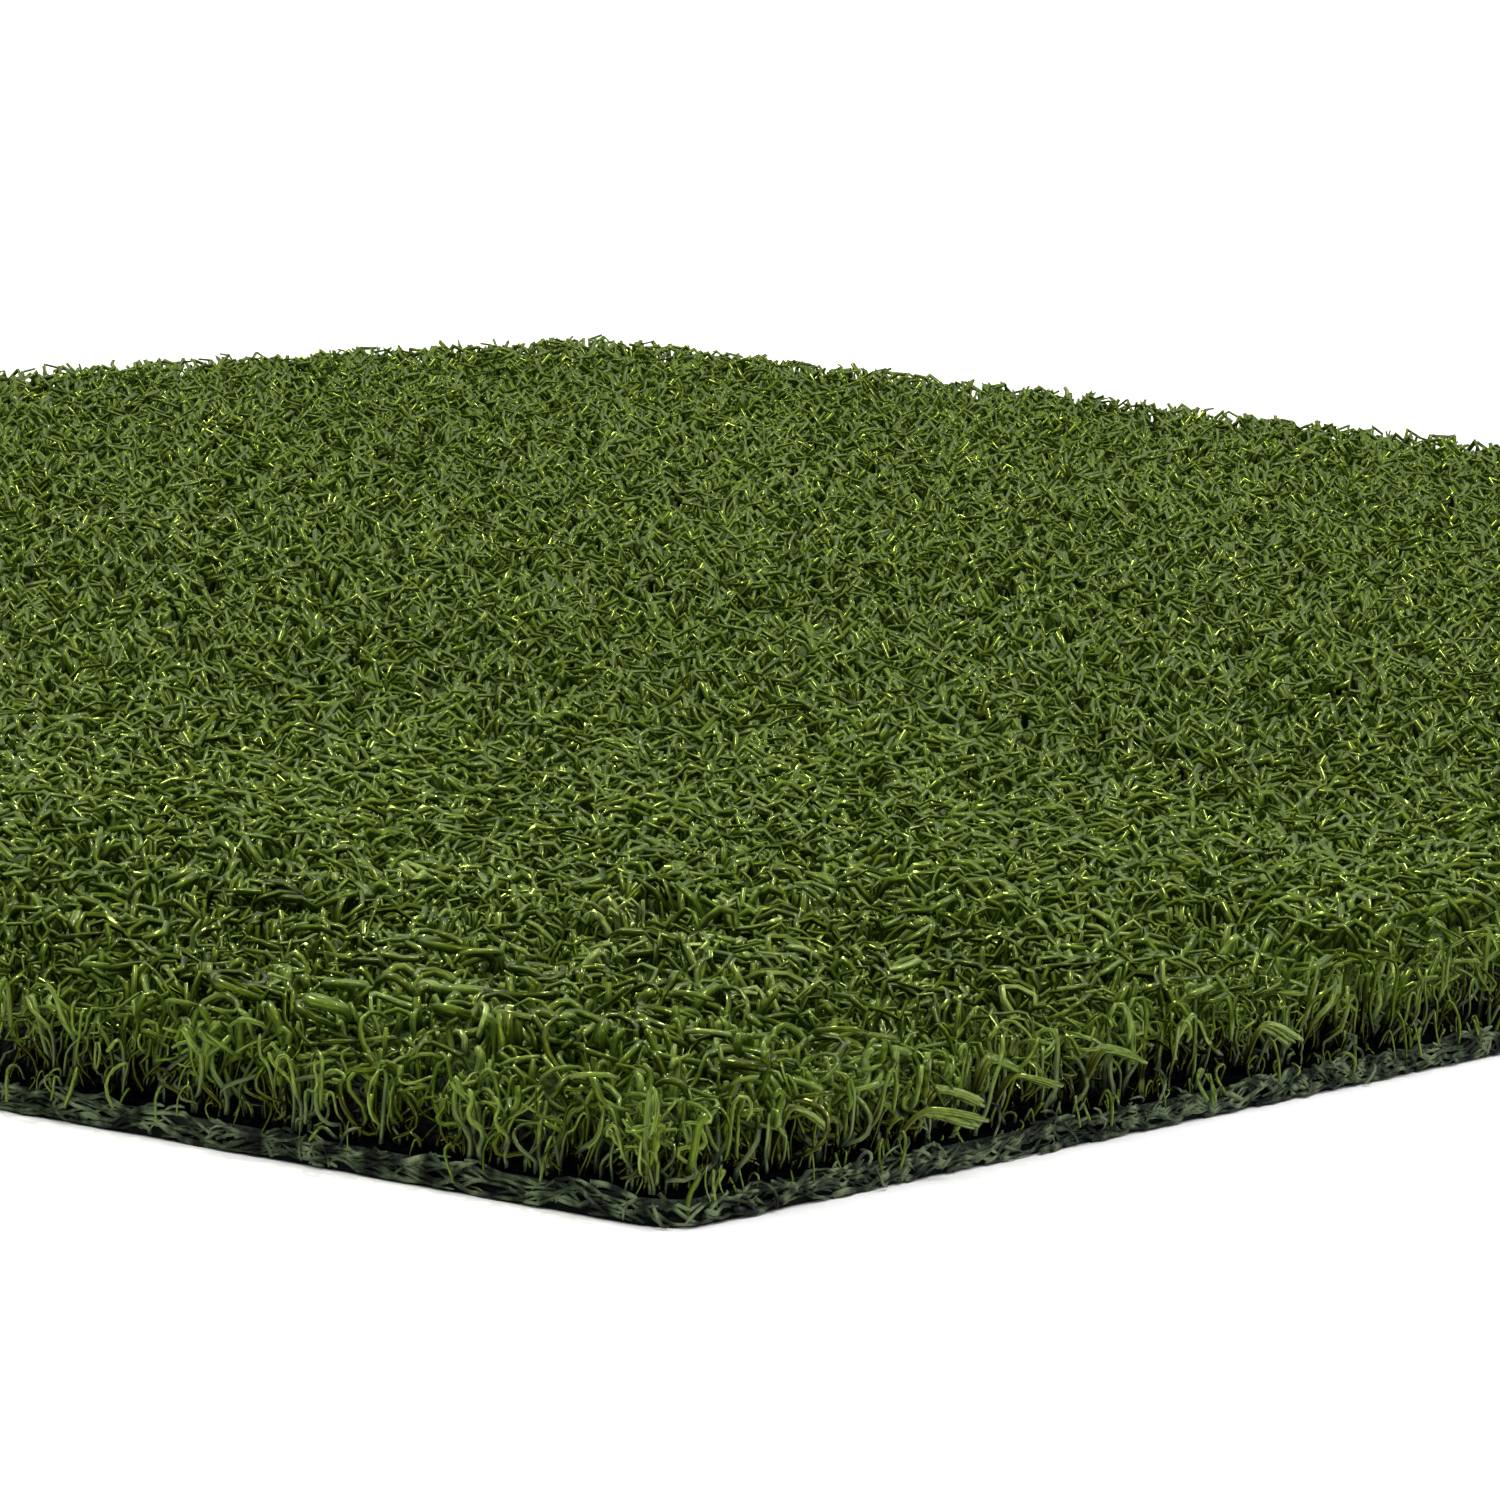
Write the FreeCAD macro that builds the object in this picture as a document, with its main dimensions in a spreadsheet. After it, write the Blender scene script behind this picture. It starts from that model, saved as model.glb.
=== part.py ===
import FreeCAD, Part
import os
import Sketcher

# Golf hitting mat: a tufted turf mat that lies on the floor.
# From the floor up it is a rubber base coat, a secondary backing cloth, a latex lock coat,
# a woven primary backing and rows of nylon pile. Each row of yarn is one piece: a pile head
# above the primary backing, a web through its slot, and a back stitch bedded in the lock coat.
# X runs along the rows (the long side), Y across them and Z up.
# The origin is the centre of the underside. All sizes are in millimetres.

DRIVING_SIZES = {
    "mat_length": 914.4,       # 36 in, along the rows
    "mat_width": 609.6,        # 24 in, across the rows
    "corner_radius": 6.0,      # cut corners of the mat, in plan
    "base_thickness": 1.2,     # black rubber base coat
    "secondary_thickness": 0.7,
    "lock_coat_thickness": 1.3,
    "primary_thickness": 0.8,
    "pile_height": 15.9,       # 5/8 in, above the primary backing
    "row_gauge": 12.7,         # 1/2 in, the tufting machine's needle spacing
    "row_gap": 0.3,            # free space between the heads of two rows
    "web_thickness": 1.6,      # yarn where it passes through the primary backing
    "stitch_width": 4.0,       # back stitch below the primary backing
    "stitch_thickness": 0.8,
    "selvage": 6.0,            # uncut primary backing beyond the end of each slot
    "stitch_clearance": 0.1,   # around the web and around the back stitch
}

# A mat with more rows than this puts two or more rows in some nodes.
MOST_ROW_NODES = 54

LAYER_THICKNESSES = {
    "base_coat": "size.base_thickness",
    "secondary_backing": "size.secondary_thickness",
    "lock_coat": "size.lock_coat_thickness",
    "primary_backing": "size.primary_thickness",
}

ROW_PITCH = "size.mat_width / size.row_count"
PILE_INSET = "size.row_gap / 2"


def make_sheet(document):
    """Puts the driving sizes in a spreadsheet, one alias each, and works out the row count."""
    sheet = document.addObject("Spreadsheet::Sheet", "size")
    row_count = round(DRIVING_SIZES["mat_width"] / DRIVING_SIZES["row_gauge"])
    cells = dict(DRIVING_SIZES, row_count=row_count)
    for line, (alias, value) in enumerate(cells.items(), start=1):
        sheet.set(f"A{line}", alias)
        sheet.set(f"B{line}", str(value))
        sheet.setAlias(f"B{line}", alias)
    document.recompute()
    return sheet


def plane(body, role):
    """One of a body's own origin planes or axes."""
    return next(item for item in body.Origin.OriginFeatures if item.Role == role)


def rectangle(body, name, centre_y, span_x, span_y, level):
    """A rectangle parallel to XY at a height in the body, centred on X = 0 and Y = centre_y."""
    sketch = body.newObject("Sketcher::SketchObject", name)
    sketch.AttachmentSupport = (plane(body, "XY_Plane"), [""])
    sketch.MapMode = "FlatFace"
    sketch.setExpression("AttachmentOffset.Base.z", level)
    corners = [(-1, -1), (1, -1), (1, 1), (-1, 1)]
    points = [FreeCAD.Vector(x, y, 0) for x, y in corners]
    for start, end in zip(points, points[1:] + points[:1]):
        sketch.addGeometry(Part.LineSegment(start, end), False)
    for side in range(4):
        sketch.addConstraint(Sketcher.Constraint("Coincident", side, 2, (side + 1) % 4, 1))
        direction = "Horizontal" if side % 2 == 0 else "Vertical"
        sketch.addConstraint(Sketcher.Constraint(direction, side))
    limits = {
        "left": ("DistanceX", 0, f"-({span_x}) / 2"),
        "front": ("DistanceY", 0, f"{centre_y} - ({span_y}) / 2"),
        "right": ("DistanceX", 2, f"({span_x}) / 2"),
        "back": ("DistanceY", 2, f"{centre_y} + ({span_y}) / 2"),
    }
    for label, (kind, corner, formula) in limits.items():
        sign = -1 if corner == 0 else 1
        index = sketch.addConstraint(Sketcher.Constraint(kind, -1, 1, corner, 1, sign))
        sketch.renameConstraint(index, label)
        sketch.setExpression(f"Constraints.{label}", formula)
    return sketch


def pad(body, name, sketch, height, downwards=False):
    """Extrudes a sketch up or down by a height taken from the sheet."""
    feature = body.newObject("PartDesign::Pad", name)
    feature.Profile = sketch
    feature.Reversed = downwards
    feature.setExpression("Length", height)
    body.Document.recompute()
    return feature


def upright_edges(shape, wanted):
    """Names of the vertical edges of a shape whose plan position is wanted."""
    names = []
    for number, edge in enumerate(shape.Edges, start=1):
        foot, top = edge.Vertexes[0].Point, edge.Vertexes[-1].Point
        is_upright = abs(foot.x - top.x) < 1e-6 and abs(foot.y - top.y) < 1e-6
        if is_upright and wanted(foot):
            names.append(f"Edge{number}")
    return names


def round_corners(body, name, feature, wanted, radius):
    """Fillets the wanted vertical edges of a body's newest feature."""
    fillet = body.newObject("PartDesign::Fillet", name)
    fillet.Base = (feature, upright_edges(feature.Shape, wanted))
    fillet.setExpression("Radius", radius)
    body.Document.recompute()
    return fillet


def make_layer(document, name, below):
    """A backing layer: a plate with the mat's rounded outline, on top of the layers below it."""
    body = document.addObject("PartDesign::Body", name)
    body.Label = name
    outline = rectangle(body, f"{name}_outline", "0", "size.mat_length", "size.mat_width", "0")
    plate = pad(body, f"{name}_plate", outline, LAYER_THICKNESSES[name])
    round_corners(body, f"{name}_corners", plate, lambda point: True, "size.corner_radius")
    level = " + ".join(LAYER_THICKNESSES[layer] for layer in below) or "0"
    body.setExpression("Placement.Base.z", level)
    return body


def row_offset(number):
    """Formula for the distance of a row's middle from the mat's middle, across the rows."""
    return f"({number} - (size.row_count + 1) / 2) * {ROW_PITCH}"


def cut_for_rows(body, name, width, depth, level):
    """Cuts one long slot or groove under the first row and repeats it under every row."""
    slot_length = "size.mat_length - 2 * size.selvage"
    sketch = rectangle(body, f"{name}_outline", row_offset(1), slot_length, width, level)
    whole = body.Tip.Shape.Volume
    cut = body.newObject("PartDesign::Pocket", name)
    cut.Profile = sketch
    cut.setExpression("Length", depth)
    body.Document.recompute()
    pattern = body.newObject("PartDesign::LinearPattern", f"{name}_rows")
    pattern.Originals = [cut]
    pattern.Direction = (sketch, ["V_Axis"])
    pattern.Mode = "Spacing"
    pattern.setExpression("Offset", ROW_PITCH)
    pattern.setExpression("Occurrences", "size.row_count")
    body.Tip = pattern
    body.Document.recompute()
    size = body.Document.size
    one_cut = sketch.Shape.BoundBox.XLength * sketch.Shape.BoundBox.YLength * cut.Length.Value
    removed = whole - pattern.Shape.Volume
    if abs(removed - one_cut * size.row_count) > 1e-3 * removed:
        raise ValueError(f"{name} removes {removed:.1f} cubic mm from {body.Label}")


def make_base_coat(document):
    """Black rubber coat that rests on the floor."""
    return make_layer(document, "base_coat", below=[])


def make_secondary_backing(document):
    """Cloth glued between the lock coat and the base coat."""
    return make_layer(document, "secondary_backing", below=["base_coat"])


def make_lock_coat(document):
    """Latex coat that holds the back stitches, each in its own groove in the upper face."""
    body = make_layer(document, "lock_coat", below=["base_coat", "secondary_backing"])
    width = "size.stitch_width + 2 * size.stitch_clearance"
    top = "size.lock_coat_thickness"
    cut_for_rows(body, "stitch_grooves", width, "size.stitch_thickness", top)
    return body


def make_primary_backing(document):
    """Woven cloth that the yarn passes through, one slot for each row."""
    below = ["base_coat", "secondary_backing", "lock_coat"]
    body = make_layer(document, "primary_backing", below)
    width = "size.web_thickness + 2 * size.stitch_clearance"
    top = "size.primary_thickness"
    cut_for_rows(body, "yarn_slots", width, "size.primary_thickness", top)
    return body


def make_row(document, number, row_count):
    """One row of tufts: the pile head, the web through the cloth and the back stitch."""
    name = f"row_{number:02d}"
    body = document.addObject("PartDesign::Body", name)
    head_length = f"size.mat_length - 2 * {PILE_INSET}"
    head_width = f"{ROW_PITCH} - size.row_gap"
    plan = rectangle(body, f"{name}_head_plan", "0", head_length, head_width, "0")
    head = pad(body, f"{name}_head", plan, "size.pile_height")
    if number in (1, row_count):
        outer_side = -1 if number == 1 else 1
        radius = f"size.corner_radius - {PILE_INSET}"
        on_outer_side = lambda point: point.y * outer_side > 0
        round_corners(body, f"{name}_corners", head, on_outer_side, radius)

    stitch_length = "size.mat_length - 2 * size.selvage - 2 * size.stitch_clearance"
    plan = rectangle(body, f"{name}_web_plan", "0", stitch_length, "size.web_thickness", "0")
    pad(body, f"{name}_web", plan, "size.primary_thickness", downwards=True)
    under_cloth = "-size.primary_thickness"
    width = "size.stitch_width"
    plan = rectangle(body, f"{name}_stitch_plan", "0", stitch_length, width, under_cloth)
    pad(body, f"{name}_stitch", plan, "size.stitch_thickness", downwards=True)

    body.setExpression("Placement.Base.y", row_offset(number))
    body.setExpression("Placement.Base.z", " + ".join(LAYER_THICKNESSES.values()))
    return body


def make_rows(document, row_count):
    """All rows, each a node of its own unless the mat has too many of them."""
    rows = [make_row(document, number, row_count) for number in range(1, row_count + 1)]
    node_count = min(row_count, MOST_ROW_NODES)
    nodes = []
    for index in range(node_count):
        first = index * row_count // node_count
        last = (index + 1) * row_count // node_count
        node = rows[first]
        if last - first > 1:
            node = document.addObject("Part::Compound", f"rows_from_{first + 1:02d}")
            node.Links = rows[first:last]
        node.Label = f"tuft_row_{index + 1:02d}"
        nodes.append(node)
    return nodes


def check(document, nodes):
    """Stops the build if any object failed or any node's shape can't be used."""
    failed = [item.Name for item in document.Objects
              if "Invalid" in item.State or "Error" in item.State]
    if failed:
        raise RuntimeError(f"failed objects: {failed}")
    for node in nodes:
        if node.Shape.isNull() or not node.Shape.isValid() or not node.Shape.Solids:
            raise RuntimeError(f"{node.Label} has no valid solid")


def main():
    document = FreeCAD.newDocument("golf_hitting_mat")
    sheet = make_sheet(document)
    nodes = [
        make_base_coat(document),
        make_secondary_backing(document),
        make_lock_coat(document),
        make_primary_backing(document),
    ]
    nodes += make_rows(document, int(sheet.row_count))
    document.recompute()
    check(document, nodes)
    os.makedirs("parts", exist_ok=True)
    for node in nodes:
        node.Shape.exportStep(f"parts/{node.Label}.step")
    print(f"{len(nodes)} nodes, {sum(len(node.Shape.Solids) for node in nodes)} solids")


main()
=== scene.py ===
import math
import random

import bmesh
import bpy
import numpy
from mathutils import Matrix, Vector, noise


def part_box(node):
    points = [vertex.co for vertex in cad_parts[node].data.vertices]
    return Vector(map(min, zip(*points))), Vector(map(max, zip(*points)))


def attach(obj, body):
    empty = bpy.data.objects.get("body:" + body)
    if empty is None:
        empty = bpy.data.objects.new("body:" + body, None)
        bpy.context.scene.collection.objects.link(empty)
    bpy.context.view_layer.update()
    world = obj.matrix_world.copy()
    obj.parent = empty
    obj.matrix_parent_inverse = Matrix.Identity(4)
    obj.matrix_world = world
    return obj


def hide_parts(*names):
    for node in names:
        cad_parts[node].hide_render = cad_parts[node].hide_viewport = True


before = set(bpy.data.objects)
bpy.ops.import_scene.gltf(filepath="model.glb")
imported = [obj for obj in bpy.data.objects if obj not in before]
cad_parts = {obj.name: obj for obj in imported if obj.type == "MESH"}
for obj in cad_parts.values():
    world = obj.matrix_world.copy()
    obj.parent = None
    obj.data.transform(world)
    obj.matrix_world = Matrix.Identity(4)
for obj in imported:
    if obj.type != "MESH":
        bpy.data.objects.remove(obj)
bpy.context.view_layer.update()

# Golf hitting mat: curly nylon pile tufted in rows through a woven backing, on a rubber base.
# Every length is in metres unless its name ends in _MM. The frame gives the places.

MM = 0.001
BODY = "root"

MAT_LOW, MAT_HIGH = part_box("base_coat")
COAT_LOW, COAT_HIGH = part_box("lock_coat")
NEAR_CORNER = Vector((MAT_LOW.x, MAT_LOW.y, 0))
CORNER_RADIUS = 6 * MM
ROW_NODES = sorted(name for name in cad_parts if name.startswith("tuft_row_"))
PILE_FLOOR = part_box("primary_backing")[1].z
PILE_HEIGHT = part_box(ROW_NODES[0])[1].z - PILE_FLOOR
# a yarn's root is held a little way down in the cloth
ROOT_FLOOR = PILE_FLOOR - 0.3 * MM

# ---------------------------------------------------------------- helpers


def linear(hex_colour):
    """A CSS-style sRGB colour as linear red, green, blue and alpha."""
    channels = [int(hex_colour[i:i + 2], 16) / 255 for i in (1, 3, 5)]
    light = [c / 12.92 if c <= 0.04045 else ((c + 0.055) / 1.055) ** 2.4 for c in channels]
    return (*light, 1.0)


def set_stops(ramp, stops):
    """Gives a colour ramp its stops, each a position and a hex colour."""
    while len(ramp.elements) < len(stops):
        ramp.elements.new(0.5)
    for element, (position, colour) in zip(ramp.elements, stops):
        element.position = position
        element.color = linear(colour)


def add_node(material, kind, settings=None, **links):
    """Adds a node and gives it its settings, which are properties, sockets or colour stops.

    Each link names a socket, or its place as at0, at1 and so on, and gives it an output, a
    hex colour or a number."""
    node = material.node_tree.nodes.new(kind)
    for name, value in (settings or {}).items():
        if name == "stops":
            set_stops(node.color_ramp, value)
        elif name in node.inputs and not hasattr(node, name):
            node.inputs[name].default_value = value
        else:
            setattr(node, name, value)
    for name, source in links.items():
        socket = node.inputs[int(name[2:])] if name.startswith("at") else node.inputs[name]
        if isinstance(source, bpy.types.NodeSocket):
            material.node_tree.links.new(source, socket)
        else:
            socket.default_value = linear(source) if isinstance(source, str) else source
    return node


def new_material(name):
    """An empty node material with its output, ready for a shader."""
    material = bpy.data.materials.new(name)
    material.use_nodes = True
    material.node_tree.nodes.clear()
    add_node(material, "ShaderNodeOutputMaterial")
    return material


def finish_material(material, shader):
    """Feeds a shader to its material's output."""
    output = material.node_tree.nodes["Material Output"]
    material.node_tree.links.new(shader.outputs[0], output.inputs["Surface"])
    return material


def mesh_of(name, shape):
    """Turns a bmesh into a mesh, and frees it."""
    mesh = bpy.data.meshes.new(name)
    shape.to_mesh(mesh)
    shape.free()
    return mesh


def only(kind, items):
    """The items of one kind among those that an operator gives back."""
    return [item for item in items if isinstance(item, kind)]


def add_piece(name, shape, material, smooth=True):
    """Turns a bmesh into a piece of the mat that rides with its one body."""
    mesh = mesh_of(name, shape)
    mesh.materials.append(material)
    mesh.polygons.foreach_set("use_smooth", [smooth] * len(mesh.polygons))
    piece = bpy.data.objects.new(name, mesh)
    bpy.context.scene.collection.objects.link(piece)
    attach(piece, BODY)
    return piece


# ---------------------------------------------------------------- materials

# Each yarn's map lies in one of these bands, from the deepest dye to the palest. The last band
# is for yarn at the very edge.
YARN_BANDS = 16
YARN_MIDDLE = 7
STALK_BAND = YARN_BANDS - 1
# the scale at which a wave texture repeats once every metre
WAVE_PERIOD = math.tau / 20


def crimped_nylon():
    """Crimped nylon 6 pile yarn, extruded and solution dyed olive green.

    Its flat sides glint yellow-green where they bend, each yarn has its own depth of dye, and
    the roots are painted nearly black, a painted shade where no light gets down to them. The
    last band is yarn at the very edge, whose root is painted grey-green, a painted reflection."""
    material = new_material("crimped_nylon")
    place = add_node(material, "ShaderNodeUVMap", {"uv_map": "OFBake"})
    split = add_node(material, "ShaderNodeSeparateXYZ", Vector=place.outputs["UV"])
    along, band = split.outputs["X"], split.outputs["Y"]
    number = add_node(material, "ShaderNodeMath", {"operation": "MULTIPLY"},
                      at0=band, at1=YARN_BANDS)
    whole = add_node(material, "ShaderNodeMath", {"operation": "FLOOR"}, at0=number.outputs[0])
    share = add_node(material, "ShaderNodeMath", {"operation": "DIVIDE"},
                     at0=whole.outputs[0], at1=YARN_BANDS - 1)
    depths = [(0.0, "#20300a"), (0.25, "#344a12"), (0.5, "#465c1c"), (0.75, "#5c722f"),
              (0.93, "#7d9050"), (1.0, "#617636")]
    tint = add_node(material, "ShaderNodeValToRGB", {"stops": depths}, Fac=share.outputs[0])

    # the drawn polymer is streaked along its length, with a few streaks across each yarn
    stretch = add_node(material, "ShaderNodeMapping", {"Scale": (5.0, YARN_BANDS * 2.2, 1.0)},
                       Vector=place.outputs["UV"])
    streaks = add_node(material, "ShaderNodeTexNoise", {"Scale": 2.0, "Detail": 2.0},
                       Vector=stretch.outputs[0])
    strength = add_node(material, "ShaderNodeMapRange",
                        {"From Min": 0.28, "From Max": 0.72, "To Min": 0.3, "To Max": 1.6},
                        Value=streaks.outputs["Fac"])
    dyed = add_node(material, "ShaderNodeVectorMath", {"operation": "SCALE"},
                    at0=tint.outputs["Color"], Scale=strength.outputs[0])
    # painted shade: from a fifth to three fifths of its length each filament goes from the root colour
    # to its dye; the root colour is a near-black painted shade, and for the edge band a grey-green
    # painted reflection
    height = add_node(material, "ShaderNodeMapRange",
                      {"interpolation_type": "SMOOTHSTEP", "From Min": 0.2, "From Max": 0.62},
                      Value=along)
    at_edge = add_node(material, "ShaderNodeMath", {"operation": "GREATER_THAN"},
                       at0=whole.outputs[0], at1=STALK_BAND - 0.5)
    root = add_node(material, "ShaderNodeMix", {"data_type": "RGBA"},
                    at0=at_edge.outputs[0], at6="#050907", at7="#46543f")
    colour = add_node(material, "ShaderNodeMix", {"data_type": "RGBA"},
                      at0=height.outputs[0], at6=root.outputs[2], at7=dyed.outputs[0])
    shader = add_node(material, "ShaderNodeBsdfPrincipled",
                      {"Roughness": 0.2, "IOR": 1.53, "Specular IOR Level": 0.6,
                       "Specular Tint": linear("#e6f03c")})
    material.node_tree.links.new(colour.outputs[2], shader.inputs["Base Color"])
    return finish_material(material, shader)


def matted_nylon():
    """The same nylon matted together low in the pile: a dull tangle of fibres, painted black at the
    bottom as painted shade, where no light gets in."""
    material = new_material("matted_nylon")
    place = add_node(material, "ShaderNodeTexCoord")
    split = add_node(material, "ShaderNodeSeparateXYZ", Vector=place.outputs["Object"])
    depth = add_node(material, "ShaderNodeMapRange",
                     {"From Min": PILE_FLOOR, "From Max": PILE_FLOOR + PILE_HEIGHT},
                     Value=split.outputs["Z"])
    # painted shade: near-black up to a quarter of the pile height, olive from about three fifths
    stops = [(0.24, "#020304"), (0.36, "#142009"), (0.62, "#47591c")]
    shade = add_node(material, "ShaderNodeValToRGB", {"stops": stops}, Fac=depth.outputs[0])
    # yarns about 1.2 mm apart, wandering along and across the mat
    waves = []
    for direction in ("X", "Y"):
        wave = add_node(material, "ShaderNodeTexWave",
                        {"bands_direction": direction, "Scale": WAVE_PERIOD / (1.2 * MM),
                         "Distortion": 22.0, "Detail": 1.5, "Detail Scale": 0.9},
                        Vector=place.outputs["Object"])
        waves.append(wave.outputs["Fac"])
    tangle = add_node(material, "ShaderNodeMath", {"operation": "MAXIMUM"},
                      at0=waves[0], at1=waves[1])
    level = add_node(material, "ShaderNodeMapRange", {"To Min": 0.3, "To Max": 1.25},
                     Value=tangle.outputs[0])
    colour = add_node(material, "ShaderNodeVectorMath", {"operation": "SCALE"},
                      at0=shade.outputs["Color"], Scale=level.outputs[0])
    relief = add_node(material, "ShaderNodeBump", {"Strength": 1.0, "Distance": 0.6 * MM},
                      Height=tangle.outputs[0])
    shader = add_node(material, "ShaderNodeBsdfPrincipled",
                      {"Roughness": 0.7, "IOR": 1.53, "Specular IOR Level": 0.15},
                      Normal=relief.outputs[0])
    material.node_tree.links.new(colour.outputs[0], shader.inputs["Base Color"])
    return finish_material(material, shader)


def latexed_yarn():
    """Nylon yarn soaked in latex and cut through: grey-green, matt, with paler frayed spots."""
    material = new_material("latexed_yarn")
    place = add_node(material, "ShaderNodeTexCoord")
    patches = add_node(material, "ShaderNodeTexNoise", {"Scale": 0.35 / MM, "Detail": 4.0},
                       Vector=place.outputs["Object"])
    stops = [(0.38, "#0a100b"), (0.5, "#3a4732"), (0.62, "#6f7d5c")]
    colour = add_node(material, "ShaderNodeValToRGB", {"stops": stops}, Fac=patches.outputs["Fac"])
    shader = add_node(material, "ShaderNodeBsdfPrincipled",
                      {"Roughness": 0.65, "IOR": 1.52, "Specular IOR Level": 0.15})
    material.node_tree.links.new(colour.outputs["Color"], shader.inputs["Base Color"])
    return finish_material(material, shader)


def pebbled_rubber():
    """Black SBR rubber, pressed with a pebbled face so that it grips: matt, with a grey bloom."""
    material = new_material("pebbled_rubber")
    place = add_node(material, "ShaderNodeTexCoord")
    pebbles = add_node(material, "ShaderNodeTexVoronoi", {"Scale": 1 / (2.4 * MM)},
                       Vector=place.outputs["Object"])
    crumbs = add_node(material, "ShaderNodeTexNoise", {"Scale": 0.6 / MM, "Detail": 5.0},
                      Vector=place.outputs["Object"])
    stops = [(0.35, "#0a0c0b"), (0.6, "#121614"), (0.8, "#232825")]
    colour = add_node(material, "ShaderNodeValToRGB", {"stops": stops}, Fac=crumbs.outputs["Fac"])
    relief = add_node(material, "ShaderNodeBump", {"Strength": 0.6, "Distance": 0.4 * MM},
                      Height=pebbles.outputs["Distance"])
    shader = add_node(material, "ShaderNodeBsdfPrincipled",
                      {"Roughness": 0.85, "IOR": 1.52, "Specular IOR Level": 0.1},
                      Normal=relief.outputs[0])
    material.node_tree.links.new(colour.outputs["Color"], shader.inputs["Base Color"])
    return finish_material(material, shader)


def woven_tape(name, tape, dark, light, roughness):
    """Polypropylene cloth, plain woven from flat slit-film tapes of one width.

    Each square shows the tape that passes over there, with painted light and shade: paler along
    its crown, darker at its sides, where it dives under the next one."""
    material = new_material(name)
    place = add_node(material, "ShaderNodeTexCoord")
    scaled = add_node(material, "ShaderNodeVectorMath", {"operation": "SCALE", "Scale": 1 / tape},
                      at0=place.outputs["Object"])
    split = add_node(material, "ShaderNodeSeparateXYZ", Vector=scaled.outputs[0])
    domes, cells = [], []
    for axis in ("X", "Y"):
        part = add_node(material, "ShaderNodeMath", {"operation": "FRACT"},
                        at0=split.outputs[axis])
        angle = add_node(material, "ShaderNodeMath", {"operation": "MULTIPLY"},
                         at0=part.outputs[0], at1=math.pi)
        dome = add_node(material, "ShaderNodeMath", {"operation": "SINE"}, at0=angle.outputs[0])
        cell = add_node(material, "ShaderNodeMath", {"operation": "FLOOR"},
                        at0=split.outputs[axis])
        domes.append(dome.outputs[0])
        cells.append(cell.outputs[0])
    both = add_node(material, "ShaderNodeMath", {"operation": "ADD"}, at0=cells[0], at1=cells[1])
    over = add_node(material, "ShaderNodeMath", {"operation": "PINGPONG"},
                    at0=both.outputs[0], at1=1)
    height = add_node(material, "ShaderNodeMix", {"data_type": "FLOAT"},
                      at0=over.outputs[0], at2=domes[0], at3=domes[1])
    # painted light and shade: the dark colour at a tape's sides, where it dives under, the light one
    # along its crown
    colour = add_node(material, "ShaderNodeMix", {"data_type": "RGBA"},
                      at0=height.outputs[0], at6=dark, at7=light)
    relief = add_node(material, "ShaderNodeBump", {"Strength": 0.8, "Distance": 0.15 * MM},
                      Height=height.outputs[0])
    shader = add_node(material, "ShaderNodeBsdfPrincipled",
                      {"Roughness": roughness, "IOR": 1.49, "Specular IOR Level": 0.0},
                      Normal=relief.outputs[0])
    material.node_tree.links.new(colour.outputs[2], shader.inputs["Base Color"])
    return finish_material(material, shader)


def foamed_latex():
    """Styrene latex spread as a froth and dried: dull grey-green, full of fine pits."""
    material = new_material("foamed_latex")
    place = add_node(material, "ShaderNodeTexCoord")
    pits = add_node(material, "ShaderNodeTexVoronoi", {"Scale": 1 / (0.7 * MM)},
                    Vector=place.outputs["Object"])
    clouds = add_node(material, "ShaderNodeTexNoise", {"Scale": 0.3 / MM, "Detail": 4.0},
                      Vector=place.outputs["Object"])
    stops = [(0.3, "#141a17"), (0.55, "#2f3a2e"), (0.75, "#4a5744")]
    colour = add_node(material, "ShaderNodeValToRGB", {"stops": stops}, Fac=clouds.outputs["Fac"])
    relief = add_node(material, "ShaderNodeBump", {"Strength": 0.9, "Distance": 0.4 * MM},
                      Height=pits.outputs["Distance"])
    shader = add_node(material, "ShaderNodeBsdfPrincipled",
                      {"Roughness": 0.85, "IOR": 1.52, "Specular IOR Level": 0.2},
                      Normal=relief.outputs[0])
    material.node_tree.links.new(colour.outputs["Color"], shader.inputs["Base Color"])
    return finish_material(material, shader)


def matt_white_paper():
    """Seamless white background paper: matt, without a pattern of its own."""
    material = new_material("matt_white_paper")
    shader = add_node(material, "ShaderNodeBsdfPrincipled",
                      {"Base Color": linear("#fbfbfa"), "Roughness": 1.0,
                       "Specular IOR Level": 0.0})
    return finish_material(material, shader)


# ---------------------------------------------------------------- filaments

# a filament is worked out in this many steps, then thinned to the steps that it is made in
FINE_STEPS = 60
# share of a filament over which it stands nearly straight, before its crimp has grown
STALK_SHARE = 0.06
# the furthest that the crimp carries a filament from its root
REACH = 7 * MM
# the yarn of a filament is at most this many times as long as it is tall
SLACK = 2.9

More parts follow.
